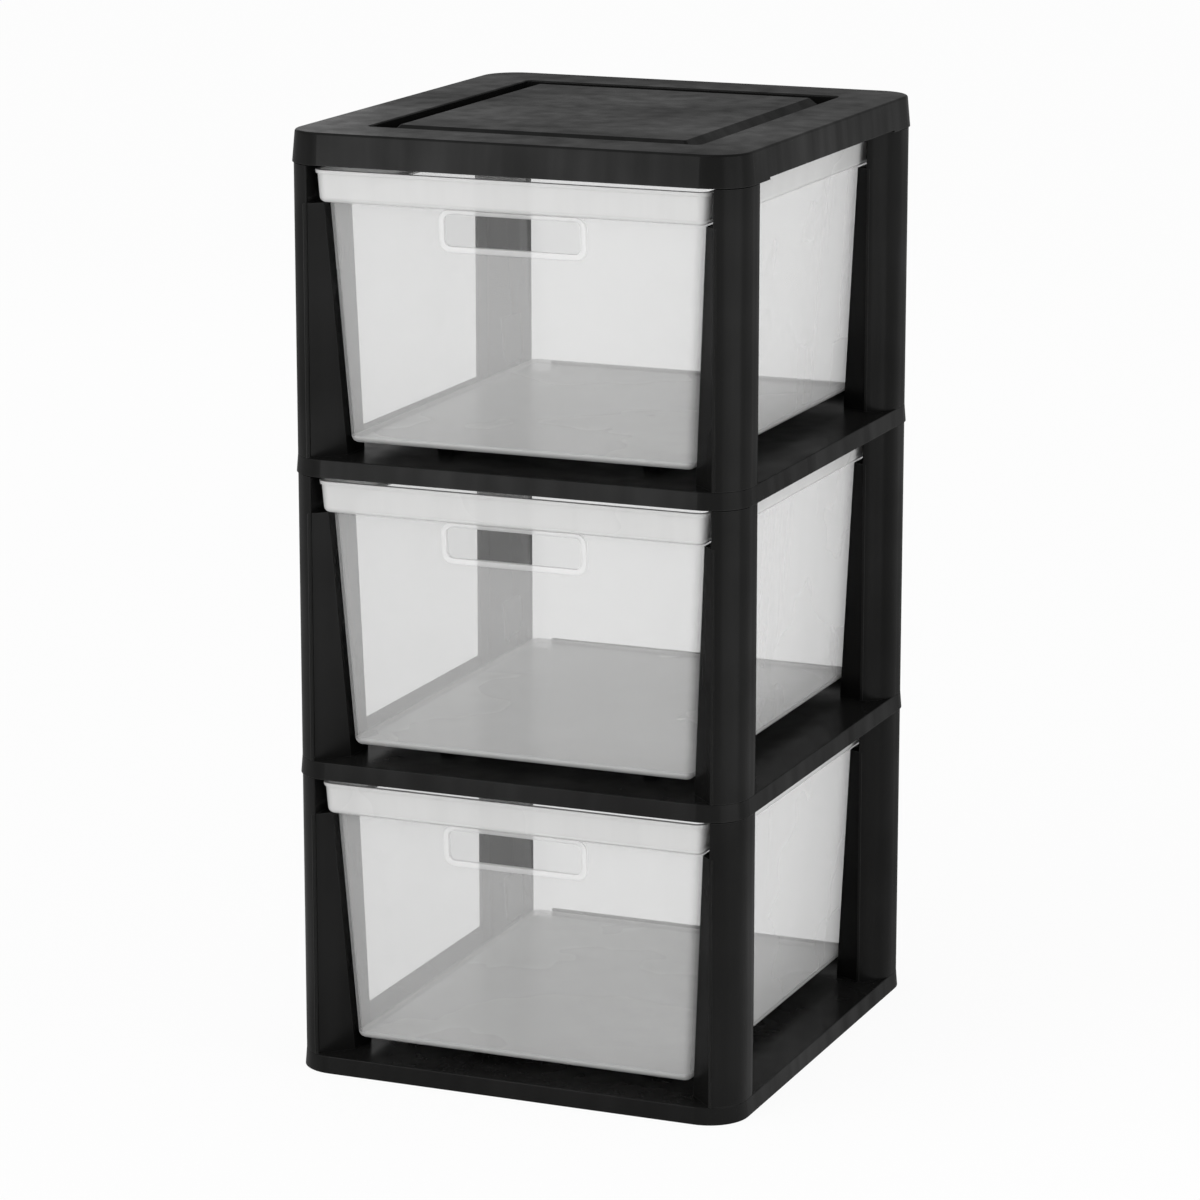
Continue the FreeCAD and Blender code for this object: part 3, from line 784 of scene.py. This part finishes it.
@dataclass
class Drawer:
    """One hazy clear drawer: tapered tub, proud rim, hand slot with a raised bead, two side pads.

    Levels are heights above the drawer's own foot.
    """

    tier: Tier
    floor_half: float = 0.12359
    floor_front: float = -0.1569
    floor_rear: float = 0.1538
    lean_side: float = 0.0096
    lean_end: float = 0.0088
    tub_height: float = 0.1635
    tub_radius: float = 0.006
    foot_round: float = 0.0045
    wall: float = 0.002
    rim_height: float = 0.022
    rim_side_step: float = 0.0046
    rim_end_step: float = 0.0062
    rim_draft: float = 0.0018
    rim_radius: float = 0.0062
    rim_round: float = 0.0036
    lip_height: float = 0.0026
    lip_reach: float = 0.0012
    slot_half: float = 0.0485
    slot_low: float = 0.1386
    slot_high: float = 0.1601
    slot_radius: float = 0.0045
    bead_width: float = 0.0038
    bead_head: float = 0.0029
    bead_rise: float = 0.0015
    pad_front: float = 0.1028
    pad_rear: float = 0.1308
    pad_low: float = 0.009
    pad_high: float = 0.042
    pad_rise: float = 0.0007
    pad_radius: float = 0.0015
    edge_round: float = 0.00035
    edge_segments: int = 2
    edge_angle: float = 35.0
    segments: int = 6
    pad_segments: int = 3
    round_steps: int = 4

    def node(self) -> str:
        """Gives the name of the solid that this drawer stands for."""
        return self.tier.value + "_drawer"

    def tub(self, level: float) -> Outline:
        """Gives the tub's outline at a level.

        Args:
            level: The level, from the foot up.

        Returns:
            The outline.
        """
        share = level / self.tub_height
        return Outline(self.floor_half + self.lean_side * share,
                       self.floor_front - self.lean_end * share,
                       self.floor_rear + self.lean_end * share, self.tub_radius, level)

    def rim(self, level: float) -> Outline:
        """Gives the rim's outline at a level.

        Args:
            level: The level, from the rim's underside up.

        Returns:
            The outline.
        """
        top = self.tub(self.tub_height)
        growth = self.rim_draft * (level - self.tub_height) / self.rim_height
        return Outline(top.half_x + self.rim_side_step + growth, top.front - self.rim_end_step - growth,
                       top.rear + self.rim_end_step + growth, self.rim_radius + growth, level)

    def rounded_rings(self, outer: Outline, radius: float, outline_at: Callable[[float], Outline],
                      zone: Zone) -> list[tuple[Outline, Zone]]:
        """Lists the outlines of a rounded lower edge, from its underside out to its side.

        Args:
            outer: The outline at the edge's lowest level, before rounding.
            radius: Radius of the round.
            outline_at: Gives the side's outline at a level.
            zone: The skin zone that the edge belongs to.

        Returns:
            Outlines with the zone of the band below each.
        """
        rings = []
        for step in range(1, self.round_steps + 1):
            turn = math.radians(90.0) * step / self.round_steps
            level = outer.level + radius * (1.0 - math.cos(turn))
            rings.append((outline_at(level).grown(-radius * (1.0 - math.sin(turn)), level), zone))
        return rings

    def profile(self) -> list[tuple[Outline, Zone]]:
        """Lists the outlines of the skin above the foot's flat face.

        Returns:
            Outlines with the zone of the band below each.
        """
        rings = self.rounded_rings(self.tub(0.0), self.foot_round, self.tub, Zone.FLOOR)
        rings.append((self.tub(self.tub_height), Zone.WALL))
        underside = self.rim(self.tub_height)
        rings.append((underside.grown(-self.rim_round, self.tub_height), Zone.RIM))
        rings.extend(self.rounded_rings(underside, self.rim_round, self.rim, Zone.RIM))
        mouth_level = self.tub_height + self.rim_height
        rings.append((self.rim(mouth_level - self.lip_height), Zone.RIM))
        rings.append((self.rim(mouth_level), Zone.LIP))
        return rings

    def build_skin(self, shape: bmesh.types.BMesh) -> None:
        """Draws the drawer's outer skin, open at the top and at the hand slot.

        Args:
            shape: The empty mesh.
        """
        outline = self.tub(0.0).grown(-self.foot_round, 0.0)
        floor = rounded_face(shape, (-outline.half_x, outline.front), (outline.half_x, outline.rear),
                             outline.radius, self.segments, Matrix.Identity(4))
        floor.material_index = Zone.FLOOR.value
        ring = list(floor.edges)
        walls = []
        for following, zone in self.profile():
            ring, band = next_ring(shape, ring, outline, following)
            for face in band:
                face.material_index = zone.value
            if zone is Zone.WALL:
                walls.extend(band)
            outline = following
        front = min(walls, key=lambda f: f.calc_center_median().y)
        sides = sorted(walls, key=lambda f: f.calc_center_median().x)
        self.cut_slot(shape, front)
        self.mark_pad(shape, sides[0], -1)
        self.mark_pad(shape, sides[-1], 1)
        bmesh.ops.recalc_face_normals(shape, faces=shape.faces)

    def cut_slot(self, shape: bmesh.types.BMesh, wall: bmesh.types.BMFace) -> None:
        """Opens the hand slot in the front wall and marks the band of its bead.

        Args:
            shape: The mesh being made.
            wall: The front wall's face.
        """
        lean = -self.lean_end / self.tub_height
        place = Matrix(((1.0, 0.0, 0.0, 0.0), (0.0, lean, -1.0, self.floor_front),
                        (0.0, 1.0, 0.0, 0.0), (0.0, 0.0, 0.0, 1.0)))
        half = self.slot_half + self.bead_width
        outer = rounded_face(shape, (-half, self.slot_low - self.bead_width),
                             (half, self.slot_high + self.bead_head),
                             self.slot_radius + self.bead_head, self.segments, place)
        inner = rounded_face(shape, (-self.slot_half, self.slot_low), (self.slot_half, self.slot_high),
                             self.slot_radius, self.segments, place)
        outer_loop = list(outer.edges)
        inner_loop = list(inner.edges)
        bmesh.ops.delete(shape, geom=[outer, inner], context="FACES_ONLY")
        bead = bmesh.ops.bridge_loops(shape, edges=outer_loop + inner_loop)["faces"]
        for face in bead:
            face.material_index = Zone.BEAD.value
        patch_wall(shape, wall, outer_loop)

    def mark_pad(self, shape: bmesh.types.BMesh, wall: bmesh.types.BMFace, side: int) -> None:
        """Marks the rectangular pad low on a side wall.

        Args:
            shape: The mesh being made.
            wall: The side wall's face.
            side: -1 on the left, 1 on the right.
        """
        lean = side * self.lean_side / self.tub_height
        place = Matrix(((0.0, lean, side, side * self.floor_half), (1.0, 0.0, 0.0, 0.0),
                        (0.0, 1.0, 0.0, 0.0), (0.0, 0.0, 0.0, 1.0)))
        pad = rounded_face(shape, (self.pad_front, self.pad_low), (self.pad_rear, self.pad_high),
                           self.pad_radius, self.pad_segments, place)
        pad.material_index = Zone.PAD.value
        patch_wall(shape, wall, list(pad.edges))

    def thicken(self, skin: bpy.types.Mesh) -> bpy.types.Mesh:
        """Gives the skin its wall, inwards.

        Args:
            skin: The outer skin.

        Returns:
            A new closed mesh.
        """
        holder = link_object(bpy.data.objects.new("drawer_skin", skin))
        wall = holder.modifiers.new("wall", "SOLIDIFY")
        wall.thickness = self.wall
        wall.offset = -1.0
        wall.use_even_offset = True
        wall.use_quality_normals = True
        shown = holder.evaluated_get(bpy.context.evaluated_depsgraph_get())
        solid = bpy.data.meshes.new_from_object(shown)
        bpy.data.objects.remove(holder)
        bpy.data.meshes.remove(skin)
        return solid

    def raise_details(self, shape: bmesh.types.BMesh) -> None:
        """Lifts the bead, the pads and the lip off the outer skin.

        Args:
            shape: The closed mesh of the drawer.
        """
        bead = [f for f in shape.faces
                if f.material_index == Zone.BEAD.value and f.normal.y < -FACES_ALONG]
        bmesh.ops.translate(shape, vec=(0.0, -self.bead_rise, 0.0), verts=lifted_off(shape, bead))
        for side in (-1, 1):
            pad = [f for f in shape.faces
                   if f.material_index == Zone.PAD.value and f.normal.x * side > FACES_ALONG
                   and f.calc_center_median().x * side > 0.0]
            bmesh.ops.translate(shape, vec=(side * self.pad_rise, 0.0, 0.0),
                                verts=lifted_off(shape, pad))
        mouth = self.rim(self.tub_height + self.rim_height)
        middle = Vector((0.0, mouth.middle_y(), 0.0))
        lip = [f for f in shape.faces
               if f.material_index == Zone.LIP.value and abs(f.normal.z) < FACES_ALONG
               and f.normal.dot(f.calc_center_median() - middle) > 0.0]
        carry_corners(shape, lifted_off(shape, lip), mouth, mouth.grown(self.lip_reach, mouth.level))
        for face in shape.faces:
            if face.material_index == Zone.LIP.value:
                face.material_index = Zone.RIM.value

    def build(self, finishes: list[bpy.types.Material]) -> bpy.types.Object:
        """Makes the drawer in place of its plain solid.

        Args:
            finishes: Materials of the wall, the rim, the floor, the bead and the pads.

        Returns:
            The drawer.
        """
        shape = bmesh.new()
        self.build_skin(shape)
        skin = bpy.data.meshes.new(self.node() + "_skin")
        shape.to_mesh(skin)
        solid = self.thicken(skin)
        shape.clear()
        shape.from_mesh(solid)
        self.raise_details(shape)
        foot_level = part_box(self.node())[0].z
        bmesh.ops.translate(shape, vec=(0.0, 0.0, foot_level), verts=shape.verts)
        for face in shape.faces:
            face.smooth = True
        shape.to_mesh(solid)
        shape.free()
        drawer = link_object(bpy.data.objects.new(self.tier.value + "_clear_drawer", solid))
        for finish in finishes:
            solid.materials.append(finish)
        bevel = drawer.modifiers.new("edges", "BEVEL")
        bevel.width = self.edge_round
        bevel.segments = self.edge_segments
        bevel.limit_method = "ANGLE"
        bevel.angle_limit = math.radians(self.edge_angle)
        weighted = drawer.modifiers.new("flat walls", "WEIGHTED_NORMAL")
        weighted.keep_sharp = True
        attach(drawer, self.tier.value + "_drawer_body")
        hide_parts(self.node())
        log.info("%s built: %d faces", drawer.name, len(solid.polygons))
        return drawer


def main() -> None:
    """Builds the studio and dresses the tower."""
    logging.basicConfig(level=logging.INFO, format="%(message)s")
    bpy.context.scene.view_settings.view_transform = "Standard"
    StudioCamera().build()
    Studio().build()
    effects = EffectGroups()
    FrameParts().build(effects)
    clear_plastics = [plastic.material(effects) for plastic in CLEAR_PLASTICS]
    for tier in Tier:
        Drawer(tier).build(clear_plastics)


if __name__ == "__main__":
    main()
